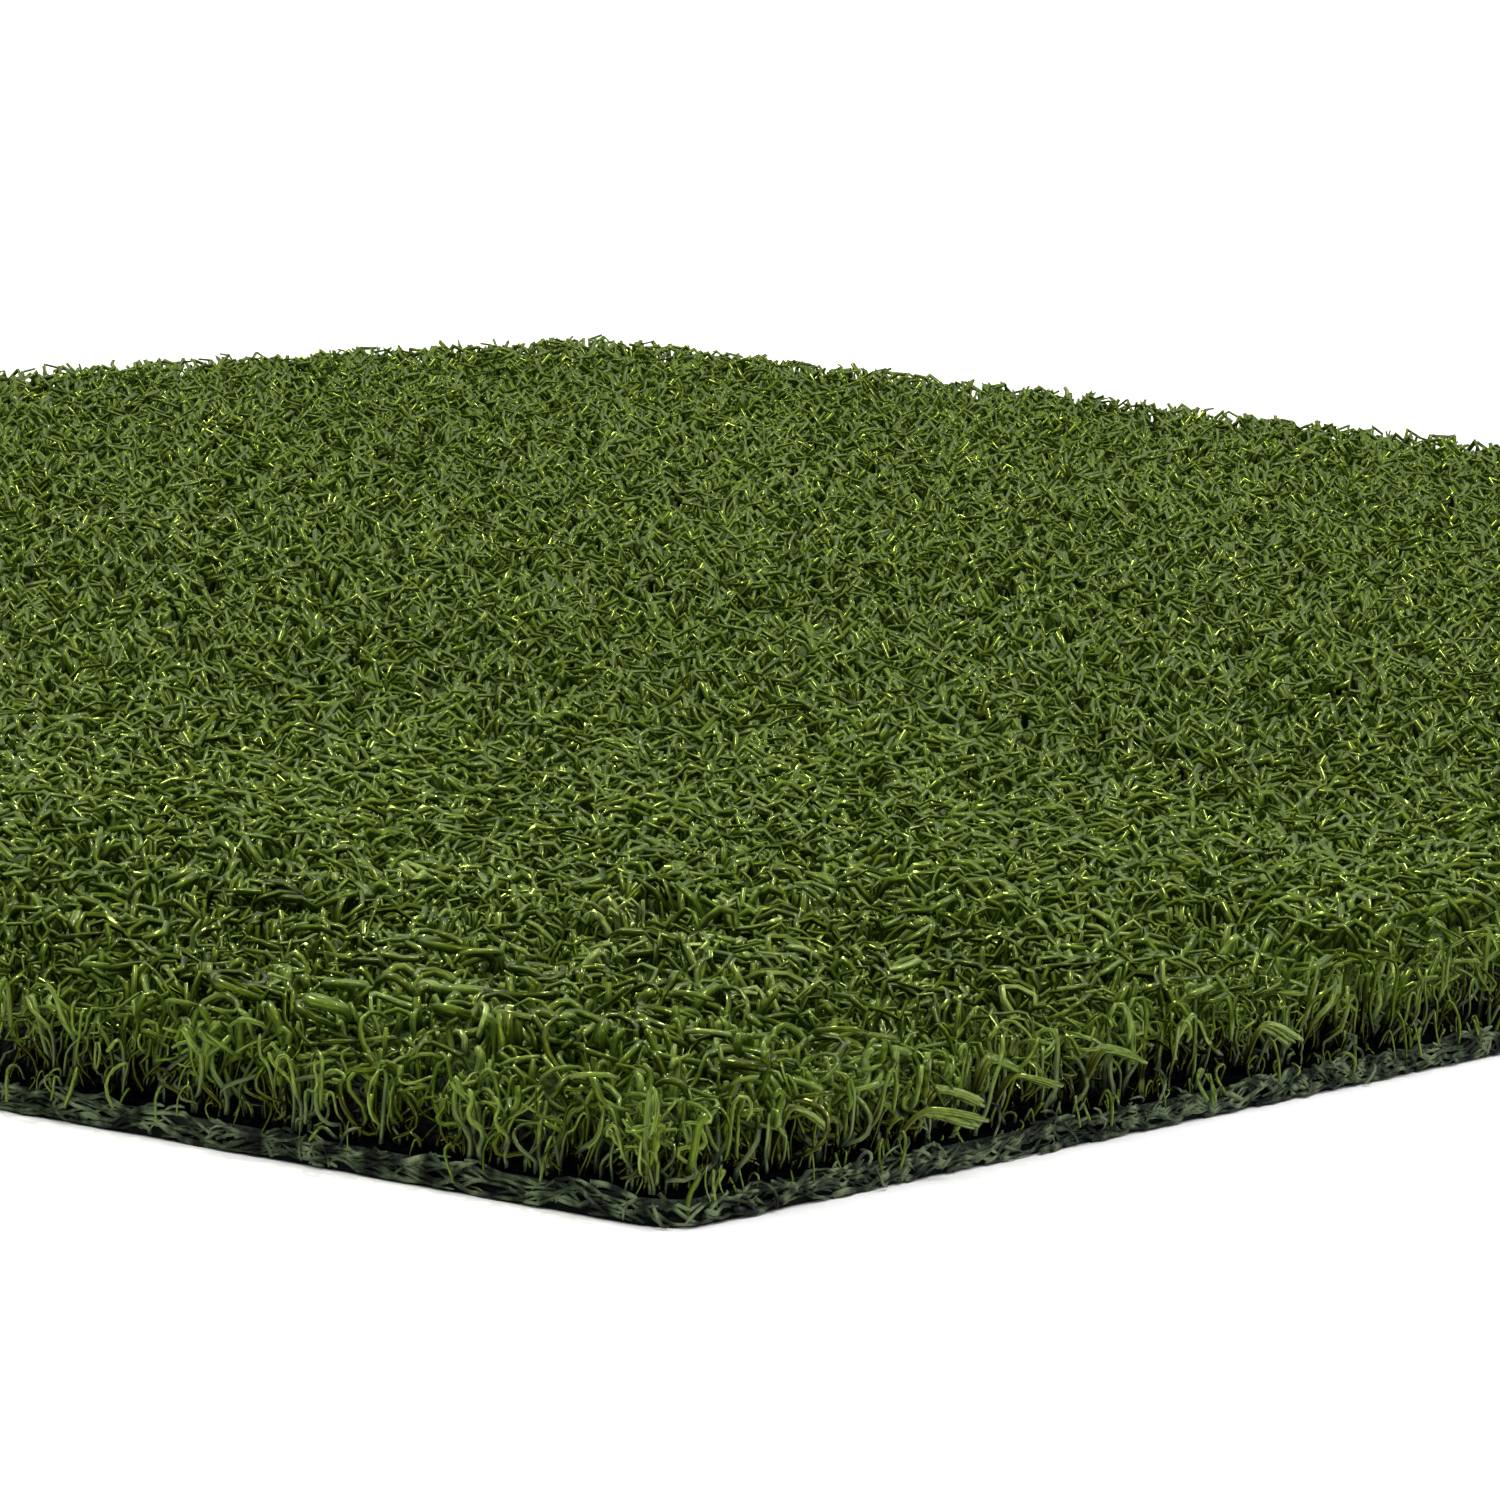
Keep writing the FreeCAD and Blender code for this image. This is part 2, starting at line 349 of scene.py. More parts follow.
# lean and swing from upright in radians, waves, turns, final hook in radians, and its start
CURLS = {
    "coil": [(1.0, 1.4), (0.2, 0.6), (1.0, 2.0), (1.2, 2.2), (0.0, 1.2), (0.6, 0.8)],
    "wave": [(0.2, 0.6), (1.1, 1.8), (1.6, 2.6), (0.1, 0.6), (0.0, 1.4), (0.5, 0.8)],
    "hook": [(0.2, 0.7), (0.4, 0.9), (1.0, 2.0), (0.2, 0.8), (2.6, 4.8), (0.4, 0.7)],
    "slant": [(0.9, 1.3), (0.2, 0.6), (0.8, 2.0), (0.1, 0.5), (0.0, 1.6), (0.5, 0.8)],
    "upright": [(0.2, 0.6), (0.4, 0.9), (1.0, 2.0), (0.1, 0.6), (0.0, 1.0), (0.6, 0.8)],
    "ribbon": [(0.4, 0.9), (0.3, 0.7), (0.6, 1.4), (0.0, 0.4), (0.3, 1.6), (0.4, 0.7)],
    "stalk": [(0.1, 0.6), (0.3, 0.8), (0.8, 1.6), (0.1, 0.8), (0.4, 3.2), (0.5, 0.8)],
    "blade": [(0.7, 1.2), (0.2, 0.7), (0.5, 1.0), (0.2, 0.8), (0.2, 1.6), (0.3, 0.6)],
}
KIND_ORDER = ["coil", "hook", "wave", "coil", "hook", "slant", "coil", "wave", "upright"]


def curly_line(steps, dice, way, start=0.0):
    """Centre line of one crimped filament, from a share of the pile height up to its top."""
    top = 0
    while top < FINE_STEPS / SLACK:
        lean, swing, waves, turns, hook, hook_start = (dice.uniform(*limits) for limits in CURLS[way])
        phase = dice.uniform(0, math.tau)
        turns *= dice.choice((-1, 1))
        points = [Vector((0, 0, 0))]
        for number in range(FINE_STEPS):
            t = (number + 0.5) / FINE_STEPS
            grown = min(1.0, max(0.0, (t - STALK_SHARE * 0.6) / STALK_SHARE))
            bent = max(0.0, (t - hook_start) / (1 - hook_start))
            tilt = grown * (lean + swing * math.sin(waves * math.tau * t + phase)) + hook * bent
            side = turns * math.tau * t
            flat = math.sin(tilt)
            step = Vector((flat * math.cos(side), flat * math.sin(side), math.cos(tilt)))
            points.append(points[-1] + step)
        top = max(point.z for point in points)
    reach = max(math.hypot(point.x, point.y) for point in points)
    tall = PILE_HEIGHT * (1 - start) / top
    wide = min(tall, REACH / reach)
    line = [Vector((point.x * wide, point.y * wide, point.z * tall)) for point in points]
    return [line[round(number * FINE_STEPS / steps)] for number in range(steps + 1)]


# a triangle spans 0.87 by 0.75 of the circle round it, and these make up for that
RING_WIDE = 1.15
RING_HIGH = 1.33
# the share of a band that a strand's map leaves free at either side
BAND_MARGIN = 0.1


def sweep(line, width, thickness, sides=3, tip=0.75, roll=0.0):
    """A closed strand along a line, its end drawn in to the share tip of its width.

    Its map OFBake runs along it in U, and across one band of the yarn pattern in V."""
    shape = bmesh.new()
    ring = bmesh.ops.create_circle(shape, segments=sides, radius=0.5)["verts"]
    bmesh.ops.rotate(shape, verts=ring, matrix=Matrix.Rotation(math.pi / 2, 3, "Z"))
    bmesh.ops.scale(shape, verts=ring, vec=(width * RING_WIDE, thickness * RING_HIGH, 1))
    bmesh.ops.rotate(shape, verts=ring, matrix=Matrix.Rotation(roll, 3, "Z"))
    facing = Vector((0, 0, 1))
    start = (line[1] - line[0]).normalized()
    bmesh.ops.rotate(shape, verts=ring, matrix=facing.rotation_difference(start).to_matrix())
    facing = start
    bmesh.ops.translate(shape, verts=ring, vec=line[0])
    rings = [list(ring)]
    for number in range(1, len(line)):
        here = line[number]
        ahead = (line[min(number + 1, len(line) - 1)] - line[number - 1]).normalized()
        turn = facing.rotation_difference(ahead).to_matrix()
        facing = ahead
        last = rings[-1]
        edges = [shape.edges.get((a, b)) for a, b in zip(last, last[1:] + last[:1])]
        fresh = only(bmesh.types.BMVert, bmesh.ops.extrude_edge_only(shape, edges=edges)["geom"])
        bmesh.ops.translate(shape, verts=fresh, vec=here - line[number - 1])
        bmesh.ops.rotate(shape, verts=fresh, cent=here, matrix=turn)
        known = set(fresh)
        rings.append([next(edge.other_vert(vert) for edge in vert.link_edges
                           if edge.other_vert(vert) in known) for vert in last])
    bmesh.ops.scale(shape, verts=rings[-1], vec=(tip, tip, tip),
                    space=Matrix.Translation(-line[-1]))
    bmesh.ops.holes_fill(shape, edges=[edge for edge in shape.edges if edge.is_boundary])
    bmesh.ops.recalc_face_normals(shape, faces=shape.faces[:])
    sheet = shape.loops.layers.uv.new("OFBake")
    place = {}
    for number, ring in enumerate(rings):
        for corner, vert in enumerate(ring):
            across = BAND_MARGIN + (1 - 2 * BAND_MARGIN) * (corner / (sides - 1))
            place[vert] = (number / (len(rings) - 1), across / YARN_BANDS)
    for face in shape.faces:
        for loop in face.loops:
            loop[sheet].uv = place[loop.vert]
    return shape


def merge_strand(shape, strand):
    """Moves a strand's bmesh into another, and says how many loops it has."""
    mesh = mesh_of("strand", strand)
    shape.from_mesh(mesh)
    loops = len(mesh.loops)
    bpy.data.meshes.remove(mesh)
    return loops


def add_strand(shape, strand, root, heading, size):
    """Stands a copy of a strand's mesh in a bmesh, its reach turned to the heading."""
    place = Matrix.Translation(root) @ Matrix.Rotation(heading, 4, "Z") @ Matrix.Scale(size, 4)
    strand.transform(place)
    shape.from_mesh(strand)
    strand.transform(place.inverted())


def shift_bands(mesh, counts, bands):
    """Moves each strand's map to its own band of the yarn pattern."""
    uv = numpy.zeros(len(mesh.loops) * 2)
    layer = mesh.uv_layers["OFBake"]
    layer.data.foreach_get("uv", uv)
    uv = uv.reshape(-1, 2)
    uv[:, 1] += numpy.repeat(numpy.array(bands) / YARN_BANDS, counts)
    layer.data.foreach_set("uv", uv.ravel())


# ---------------------------------------------------------------- pile

# How finely the filaments are made, by distance from the near corner. Width is in mm, density
# is filaments per square mm, and contrast is how many bands of dye they differ by. They start
# at a share of the pile height, which is inside the matted bed in all but the finest.
DETAIL = [
    {"within": 0.075, "steps": 17, "width": 1.2, "density": 0.29, "start": 0.0, "contrast": 6.5},
    {"within": 0.17, "steps": 10, "width": 1.15, "density": 0.27, "start": 0.1, "contrast": 6.0},
    {"within": 0.32, "steps": 5, "width": 1.15, "density": 0.14, "start": 0.35, "contrast": 2.6},
    {"within": 9.00, "steps": 3, "width": 1.3, "density": 0.075, "start": 0.55, "contrast": 1.0},
]
# the belt round the other edges, where the filaments are seen from the side
EDGE_DETAIL = {"steps": 6, "width": 1.2, "density": 0.21, "start": 0.0, "contrast": 5.0}
EDGE_BELT = 13 * MM
# levels that start above this share of the pile height show only the tips of their filaments
TIPS_ONLY = 0.2
# shapes in a family, their widths as shares of the level's, and their thickness to width
KINDS = 27
WIDTH_SPREAD = (0.6, 1.2)
FLATNESS = (0.45, 0.75)
# filaments in no more steps than this are too coarse to curl, and in more than the next they
# have four sides and not three
BLADE_STEPS = 5
SQUARE_STEPS = 15
# one kind in each full-length family is a flat ribbon that the crimping left wide
RIBBON_KIND = 4
RIBBON_WIDTH = 1.5 * MM
RIBBON_THICKNESS = 0.35 * MM


def filament_kinds(level, dice):
    """A family of filament shapes for one level of detail."""
    kinds = []
    for number in range(KINDS):
        way = KIND_ORDER[number % len(KIND_ORDER)] if level["steps"] > BLADE_STEPS else "blade"
        width = level["width"] * dice.uniform(*WIDTH_SPREAD) * MM
        thickness = width * dice.uniform(*FLATNESS)
        if number == RIBBON_KIND and level["start"] == 0:
            way, width, thickness = "ribbon", RIBBON_WIDTH, RIBBON_THICKNESS
        line = curly_line(level["steps"], dice, way, level["start"])
        sides = 4 if level["steps"] > SQUARE_STEPS else 3
        shape = sweep(line, width, thickness, sides, roll=dice.uniform(0, math.tau))
        kinds.append(mesh_of(f"filament_{level['steps']}_{number}", shape))
    return kinds


def yarn_band(value, dice):
    """A band number near a value, dithered between whole bands and kept off the edge yarn's."""
    return min(max(math.floor(value + dice.random()), 0), STALK_BAND - 1)


def way_out(x, y):
    """Distance to the nearest edge of the mat, and the heading towards it."""
    sides = [(x - MAT_LOW.x, math.pi), (MAT_HIGH.x - x, 0),
             (y - MAT_LOW.y, -math.pi / 2), (MAT_HIGH.y - y, math.pi / 2)]
    return min(sides)


STITCH_PITCH = 7.5 * MM
# how far the filaments fan out of a stitch, along the row and across it, inside the mat and
# in the belt along the edge that lies that way
ALONG_ROW_MM = 1.9
ALONG_ROW_AT_END_MM = 3.4
ACROSS_ROW_MM = 2.9
ACROSS_ROW_AT_SIDE_MM = 2.4
# patches of deeper and paler dye: how many lie in a metre, and by how many bands they differ
DYE_PATCHES = 22
DYE_PATCH_DEPTH = 1.6
# how far whole tufts differ in dye, as a share of their level's contrast
TUFT_CONTRAST = 0.18
# painted shade: the finest filaments catch more light, so near the corner their colour is darkened by
# up to so many bands, fading out over the second distance
PAINTED_SHADE_NEAR = 0.6
PAINTED_SHADE_REACH = 0.2
# tufts differ by up to this share in height, and filaments of one tuft by up to the next
TUFT_DROP = 0.3
FILAMENT_DROP = 0.45
# where only tips show they differ less: the least share of their height, and what is added
TIP_HEIGHT = 0.84
TIP_SPREAD = 0.16
# filaments at the very edge have this share of their height, and full height from there on
EDGE_HEIGHT = 0.66
FULL_HEIGHT_INSET = 11 * MM
# the belts where most filaments lean outwards, and where many have the edge yarn's colour
LEAN_OUT_BELT = 9 * MM
LEAN_OUT_SHARE = 0.7
STALK_BELT = 6 * MM
STALK_SHARE_IN_BELT = 0.45


def plant_tuft(row, x, y, from_corner, filaments, level, dice):
    """The filaments of one stitch, fanned out. Gives the loops and the band of each."""
    tuft_height = 1 - TUFT_DROP * dice.random() ** 1.6
    tuft_heading = dice.uniform(0, math.tau)
    patch = noise.noise(Vector((x * DYE_PATCHES, y * DYE_PATCHES, 0.5)))
    tuft_band = YARN_MIDDLE + DYE_PATCH_DEPTH * patch
    tuft_band += dice.gauss(0, TUFT_CONTRAST * level["contrast"])
    # painted shade: tufts near the corner are darkened by some bands
    tuft_band -= PAINTED_SHADE_NEAR * max(0, 1 - from_corner / PAINTED_SHADE_REACH)
    at_end = min(x - MAT_LOW.x, MAT_HIGH.x - x) < EDGE_BELT
    at_side = min(y - MAT_LOW.y, MAT_HIGH.y - y) < EDGE_BELT
    planted = []
    for _ in range(filaments):
        aside = dice.gauss(0, ALONG_ROW_AT_END_MM if at_end else ALONG_ROW_MM)
        across = dice.gauss(0, ACROSS_ROW_AT_SIDE_MM if at_side else ACROSS_ROW_MM)
        root_x = min(max(x + aside * MM, MAT_LOW.x + MM), MAT_HIGH.x - MM)
        root_y = min(max(y + across * MM, MAT_LOW.y + MM), MAT_HIGH.y - MM)
        to_edge, outward = way_out(root_x, root_y)
        heading = dice.choice((tuft_heading, math.atan2(across, aside))) + dice.gauss(0, 0.8)
        if to_edge < LEAN_OUT_BELT and dice.random() < LEAN_OUT_SHARE:
            heading = outward + dice.gauss(0, 0.9)
        size = tuft_height * (1 - FILAMENT_DROP * dice.random() ** 2)
        size *= EDGE_HEIGHT + (1 - EDGE_HEIGHT) * min(1, to_edge / FULL_HEIGHT_INSET)
        if level["start"] > TIPS_ONLY:
            size = TIP_HEIGHT + TIP_SPREAD * tuft_height * dice.random()
        root = Vector((root_x, root_y, ROOT_FLOOR + level["start"] * PILE_HEIGHT))
        strand = dice.choice(level["kinds"])
        add_strand(row, strand, root, heading, size)
        band = yarn_band(tuft_band + level["contrast"] * dice.uniform(-1, 1), dice)
        if to_edge < STALK_BELT and dice.random() < STALK_SHARE_IN_BELT:
            band = STALK_BAND
        planted.append((len(strand.loops), band))
    return planted


def plant_row(number, node, levels, edge_level, material):
    """One row of tufts along X, with its filaments opening out of each stitch."""
    dice = random.Random(1000 + number)
    low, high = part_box(node)
    middle = (low.y + high.y) / 2
    gauge = high.y - low.y
    row = bmesh.new()
    planted = []
    stitches = round((high.x - low.x) / STITCH_PITCH)
    pitch = (high.x - low.x) / stitches
    for stitch in range(stitches):
        x = low.x + (stitch + 0.5) * pitch
        from_corner = math.hypot(x - NEAR_CORNER.x, middle - NEAR_CORNER.y)
        # the levels mingle where they meet
        from_corner *= dice.uniform(0.8, 1.25)
        level = next(item for item in levels if from_corner < item["within"])
        if way_out(x, middle)[0] < EDGE_BELT and level["start"] > TIPS_ONLY:
            level = edge_level
        filaments = int(level["density"] * gauge * pitch / MM ** 2 + dice.random())
        planted += plant_tuft(row, x, middle, from_corner, filaments, level, dice)
    piece = add_piece(f"pile_row_{number:02d}", row, material)
    counts, bands = zip(*planted)
    shift_bands(piece.data, counts, bands)
    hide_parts(node)
    return piece


def plant_pile(material):
    """All the rows, from a few families of filaments that they share."""
    dice = random.Random(7)
    levels = [dict(level, kinds=filament_kinds(level, dice)) for level in DETAIL]
    edge_level = dict(EDGE_DETAIL, kinds=filament_kinds(EDGE_DETAIL, dice))
    for number, node in enumerate(ROW_NODES, start=1):
        plant_row(number, node, levels, edge_level, material)


# ---------------------------------------------------------------- pile bed

BED_INSET = 5.5 * MM
BED_CELL = 4 * MM
# the bed's height as a share of the pile's, near the corner and what it gains away from it
BED_SHARE = 0.54
BED_GAIN = 0.13
# the gain starts this far from the near corner, and is full after so much more
BED_GAIN_START = 0.04
BED_GAIN_REACH = 0.27
BED_LUMPS = 0.14
# the bed's rim rises steeply at first and then gently, over these widths
STEEP_RIM = 3 * MM
GENTLE_RIM = 12 * MM


def make_pile_bed(material):
    """The dense lower part of the pile, where single filaments can't be told apart."""
    span = MAT_HIGH - MAT_LOW - Vector((2 * BED_INSET, 2 * BED_INSET, 0))
    bed = bmesh.new()
    grid = bmesh.ops.create_grid(bed, x_segments=round(span.x / BED_CELL),
                                 y_segments=round(span.y / BED_CELL), size=0.5)["verts"]
    bmesh.ops.scale(bed, verts=grid, vec=(span.x, span.y, 1))
    middle = (MAT_HIGH + MAT_LOW) / 2
    bmesh.ops.translate(bed, verts=grid, vec=(middle.x, middle.y, 0))
    for vert in bed.verts:
        x, y = vert.co.x, vert.co.y
        from_corner = math.hypot(x - NEAR_CORNER.x, y - NEAR_CORNER.y)
        far = min(1, max(0, (from_corner - BED_GAIN_START) / BED_GAIN_REACH))
        far = far * far * (3 - 2 * far)
        inward = max(0, way_out(x, y)[0] - BED_INSET)
        rise = 0.55 * min(1, inward / STEEP_RIM) + 0.45 * min(1, inward / GENTLE_RIM)
        # lumps about 7 mm apart, with smaller ones between
        lumps = noise.noise(vert.co * 140) + noise.noise(vert.co * 420)
        share = BED_SHARE + BED_GAIN * far + (BED_LUMPS - 0.03 * far) * lumps
        vert.co.z = PILE_FLOOR + 0.2 * MM + PILE_HEIGHT * share * rise
    rim = [edge for edge in bed.edges if edge.is_boundary]
    skirt = bmesh.ops.extrude_edge_only(bed, edges=rim)["geom"]
    for vert in only(bmesh.types.BMVert, skirt):
        vert.co.z = PILE_FLOOR
    bmesh.ops.holes_fill(bed, edges=[edge for edge in bed.edges if edge.is_boundary])
    bmesh.ops.recalc_face_normals(bed, faces=bed.faces[:])
    return add_piece("pile_bed", bed, material)


# ---------------------------------------------------------------- backing

RIM_STEP = 1.3 * MM
RIM_WIDTH = 3 * MM
ARC_STEPS = 6


def outline(inset, spacing):
    """Points round the mat's rounded rectangle, inset from its edge."""
    low = MAT_LOW + Vector((inset, inset, 0))
    high = MAT_HIGH - Vector((inset, inset, 0))
    radius = CORNER_RADIUS - inset
    points = []
    corners = [(low.x, low.y, 180), (high.x, low.y, 270), (high.x, high.y, 0), (low.x, high.y, 90)]
    for x, y, start in corners:
        cx = x + radius if x == low.x else x - radius
        cy = y + radius if y == low.y else y - radius
        for step in range(ARC_STEPS + 1):
            angle = math.radians(start + 90 * step / ARC_STEPS)
            points.append(Vector((cx + radius * math.cos(angle), cy + radius * math.sin(angle), 0)))
    full = []
    for a, b in zip(points, points[1:] + points[:1]):
        pieces = max(1, round((b - a).length / spacing))
        full += [a.lerp(b, i / pieces) for i in range(pieces)]
    return full


def lay_layer(name, node, material, inset, ragged, lifted=0.0):
    """One backing layer, whose cut edge wanders in and out and up from the floor."""
    low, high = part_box(node)
    half = Vector((0, 0, (high.z - low.z) / 2))
    layer = bmesh.new()
    border = [layer.verts.new(p + Vector((0, 0, low.z))) for p in outline(inset, RIM_STEP)]
    bottom = layer.faces.new(border)
    middle_cap = bmesh.ops.extrude_face_region(layer, geom=[bottom])["geom"]
    bmesh.ops.translate(layer, verts=only(bmesh.types.BMVert, middle_cap), vec=half)
    region = only(bmesh.types.BMFace, middle_cap)
    top_cap = bmesh.ops.extrude_face_region(layer, geom=region)["geom"]
    bmesh.ops.delete(layer, geom=region, context="FACES_ONLY")
    bmesh.ops.translate(layer, verts=only(bmesh.types.BMVert, top_cap), vec=half)
    top = only(bmesh.types.BMFace, top_cap)[0]
    rim = list(layer.verts)
    bmesh.ops.inset_region(layer, faces=[bottom, top], thickness=RIM_WIDTH, use_boundary=True,
                           use_even_offset=True)
    middle = (MAT_LOW + MAT_HIGH) / 2
    for vert in rim:
        out = Vector((vert.co.x - middle.x, vert.co.y - middle.y, 0)).normalized()
        # long waves of the knife, and nicks a few mm apart
        wander = noise.noise(vert.co * 90) + noise.noise(vert.co * 420)
        if vert.co.z < low.z + 0.1 * MM:
            lift = noise.noise(vert.co * 70 + Vector((3, 5, 7))) + noise.noise(vert.co * 300)
            vert.co.z += lifted * max(0.0, 0.25 + lift)
            wander -= 0.5
        vert.co += out * wander * ragged
    bmesh.ops.recalc_face_normals(layer, faces=layer.faces[:])
    piece = add_piece(name, layer, material, smooth=False)
    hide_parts(node)
    return piece


# ---------------------------------------------------------------- cut edge

THREAD_STEP = 1.0 * MM
THREAD_INSET = 0.2 * MM
# loose yarns stay between a little over the floor and a little over the latex
THREAD_LOW = 0.4 * MM
THREAD_HIGH = COAT_HIGH.z + 0.9 * MM
EDGE_TRACKS = 9
EDGE_YARN_WIDTH_MM = (0.35, 0.9)
# how far from the near corner the cut edge is made more finely
NEAR_REACH = 0.25


def edge_frame(rim, number):
    """A point of the rim, the way along it and the way out of the mat."""
    here = rim[number % len(rim)]
    ahead = rim[(number + 2) % len(rim)] - rim[(number - 2) % len(rim)]
    along = ahead.normalized()
    return here, along, Vector((along.y, -along.x, 0))


def is_near(point):
    """Whether a point is within reach of the near corner."""
    return (point - NEAR_CORNER).length < NEAR_REACH


def wandering_line(rim, number, length, height, slope, seed):
    """The line of a yarn along the rim, which sways outwards and strays up and down."""
    line = []
    stride = 2 if is_near(rim[number]) else 4
    for step in range(0, length + 1, stride):
        here, _, out = edge_frame(rim, number + step)
        sway = noise.noise(seed + Vector((step * 0.23, 0, 0)))
        stray = noise.noise(seed + Vector((0, step * 0.29, 4)))
        swell = noise.noise(here * 60 + Vector((9, 2, 4)))
        rise = height + (slope * (step - length / 2) + 1.5 * stray + 0.7 * swell) * MM
        line.append(here + out * (0.1 + 1.1 * abs(sway)) * MM
                    + Vector((0, 0, min(max(rise, THREAD_LOW), THREAD_HIGH))))
    return line


def lay_edge_yarns(material):
    """Yarn and cloth threads along the cut edge, where the knife has pulled them loose."""
    dice = random.Random(31)
    rim = outline(THREAD_INSET, THREAD_STEP)
    yarns = bmesh.new()
    for track in range(EDGE_TRACKS):
        number = dice.randrange(40)
        while number < len(rim):
            length = dice.randint(4, 12)
            share = (track + dice.random()) / EDGE_TRACKS
            height = COAT_LOW.z - 1.5 * MM + (COAT_HIGH.z - COAT_LOW.z + 1.4 * MM) * share
            slope = dice.gauss(0, 0.25)
            seed = Vector((track * 7.3, number * 0.21, 1.7))
            line = wandering_line(rim, number, length, height, slope, seed)
            width = dice.uniform(*EDGE_YARN_WIDTH_MM) * MM
            roll = dice.uniform(0, math.tau)
            merge_strand(yarns, sweep(line, width, width * 0.7, roll=roll, tip=0.4))
            number += max(2, length - dice.randint(0, 4) + dice.choice((0, 0, 0, 2, 6)))
    return add_piece("edge_yarns", yarns, material)


FRAY_STEPS = 6
FRAY_LENGTH_MM = (2, 6)
FRAY_WIDTH_MM = (0.25, 0.55)
# mean distance between frayed threads, in steps along the rim
FRAY_GAP_NEAR = 3
FRAY_GAP = 9


def fray_threads(material):
    """Short ends of thread that stick out of the cut edge."""
    dice = random.Random(47)
    rim = outline(THREAD_INSET, THREAD_STEP)
    threads = bmesh.new()
    number = 0
    while number < len(rim):
        here, along, out = edge_frame(rim, number)
        length = dice.uniform(*FRAY_LENGTH_MM) * MM
        width = dice.uniform(*FRAY_WIDTH_MM) * MM
        side = dice.uniform(-1.6, 1.6)
        rise = dice.uniform(-0.5, 0.9)
        curl = dice.uniform(-2.4, 2.4)
        line = [here + Vector((0, 0, dice.uniform(COAT_LOW.z, COAT_HIGH.z + 0.6 * MM)))]
        for step in range(FRAY_STEPS):
            turn = side + curl * step / (FRAY_STEPS - 1)
            way = (along * math.sin(turn) + out * (0.4 - 0.14 * step)
                   + Vector((0, 0, rise - 0.15 * step)))
            line.append(line[-1] + way.normalized() * length / FRAY_STEPS)
        line = [Vector((p.x, p.y, max(p.z, THREAD_LOW))) for p in line]
        merge_strand(threads, sweep(line, width, width * 0.8, tip=0.5))
        gap = FRAY_GAP_NEAR if is_near(here) else FRAY_GAP
        number += max(1, round(dice.expovariate(1 / gap)))
    return add_piece("frayed_threads", threads, material)


# how far a fallen yarn end reaches out, rises, falls and sways
OVERHANG_MM = {"reach": (2.0, 4.5), "rise": (1.0, 7.0), "fall": (0.5, 3.5), "sway": (0.5, 2.5)}


def overhang_line(steps, dice):
    """A yarn end that climbs out of the outermost stitch and falls over the cut edge."""
    reach, rise, fall, sway = (dice.uniform(*limits) for limits in OVERHANG_MM.values())
    phase = dice.uniform(0, math.tau)
    line = []
    for number in range(steps + 1):
        t = number / steps
        line.append(Vector((reach * t ** 0.8, sway * t * math.sin(2.2 * math.pi * t + phase),
                            rise * math.sin(math.pi * t) - fall * t * t)) * MM)
    return line


FINE_STALKS = 30
FINE_STALK_ORDER = ("stalk", "coil", "overhang", "hook", "overhang")
FINE_STALK_STEPS = 16
OVERHANG_STEPS = 12
COARSE_STALKS = 12
COARSE_STALK_ORDER = ("stalk", "coil", "hook")
COARSE_STALK_STEPS = 6
STALK_FLATNESS = 0.6
# how far in from the edge the stalks and the fallen ends are rooted
STALK_INSET_MM = (0.7, 4.5)
OVERHANG_INSET_MM = (0.6, 1.6)
STALK_SIZE = (0.4, 0.85)
# mean distance between stalks, in steps along the rim
STALK_GAP_NEAR = 1.1
STALK_GAP = 2.2


def stalk_kinds(dice):
    """Fine stalks and fallen ends for the near corner, and coarse ones for the rest."""
    fine = []
    for number in range(FINE_STALKS):
        way = FINE_STALK_ORDER[number % len(FINE_STALK_ORDER)]
        if way == "overhang":
            line = overhang_line(OVERHANG_STEPS, dice)
            width = dice.uniform(0.45, 0.85)
        else:
            line = curly_line(FINE_STALK_STEPS, dice, way)
            width = dice.uniform(0.75, 1.2)
        shape = sweep(line, width * MM, width * STALK_FLATNESS * MM, roll=dice.uniform(0, math.tau))
        fine.append(mesh_of(f"edge_{way}_{number}", shape))
    coarse = []
    for number in range(COARSE_STALKS):
        way = COARSE_STALK_ORDER[number % len(COARSE_STALK_ORDER)]
        line = curly_line(COARSE_STALK_STEPS, dice, way)
        width = dice.uniform(0.9, 1.3)
        shape = sweep(line, width * MM, width * STALK_FLATNESS * MM, roll=dice.uniform(0, math.tau))
        coarse.append(mesh_of(f"edge_coarse_{number}", shape))
    return fine, coarse


def stand_edge_stalks(material):
    """Loose yarn at the very edge: stalks clear of the tufts, and ends fallen over the side."""
    dice = random.Random(59)
    fine, coarse = stalk_kinds(dice)
    rim = outline(THREAD_INSET, THREAD_STEP)
    stalks = bmesh.new()
    counts, bands = [], []
    number = 0
    while number < len(rim):
        here, _, out = edge_frame(rim, number)
        strand = dice.choice(fine if is_near(here) else coarse)
        inset = dice.uniform(*(OVERHANG_INSET_MM if "overhang" in strand.name else STALK_INSET_MM))
        root = here - out * inset * MM + Vector((0, 0, ROOT_FLOOR))
        heading = math.atan2(out.y, out.x) + dice.gauss(0, 0.9)
        add_strand(stalks, strand, root, heading, dice.uniform(*STALK_SIZE))
        counts.append(len(strand.loops))
        bands.append(STALK_BAND if dice.random() < 0.4 else dice.randint(3, 12))
        gap = STALK_GAP_NEAR if is_near(here) else STALK_GAP
        number += max(1, round(dice.expovariate(1 / gap)))
    piece = add_piece("edge_stalks", stalks, material)
    shift_bands(piece.data, counts, bands)
    return piece


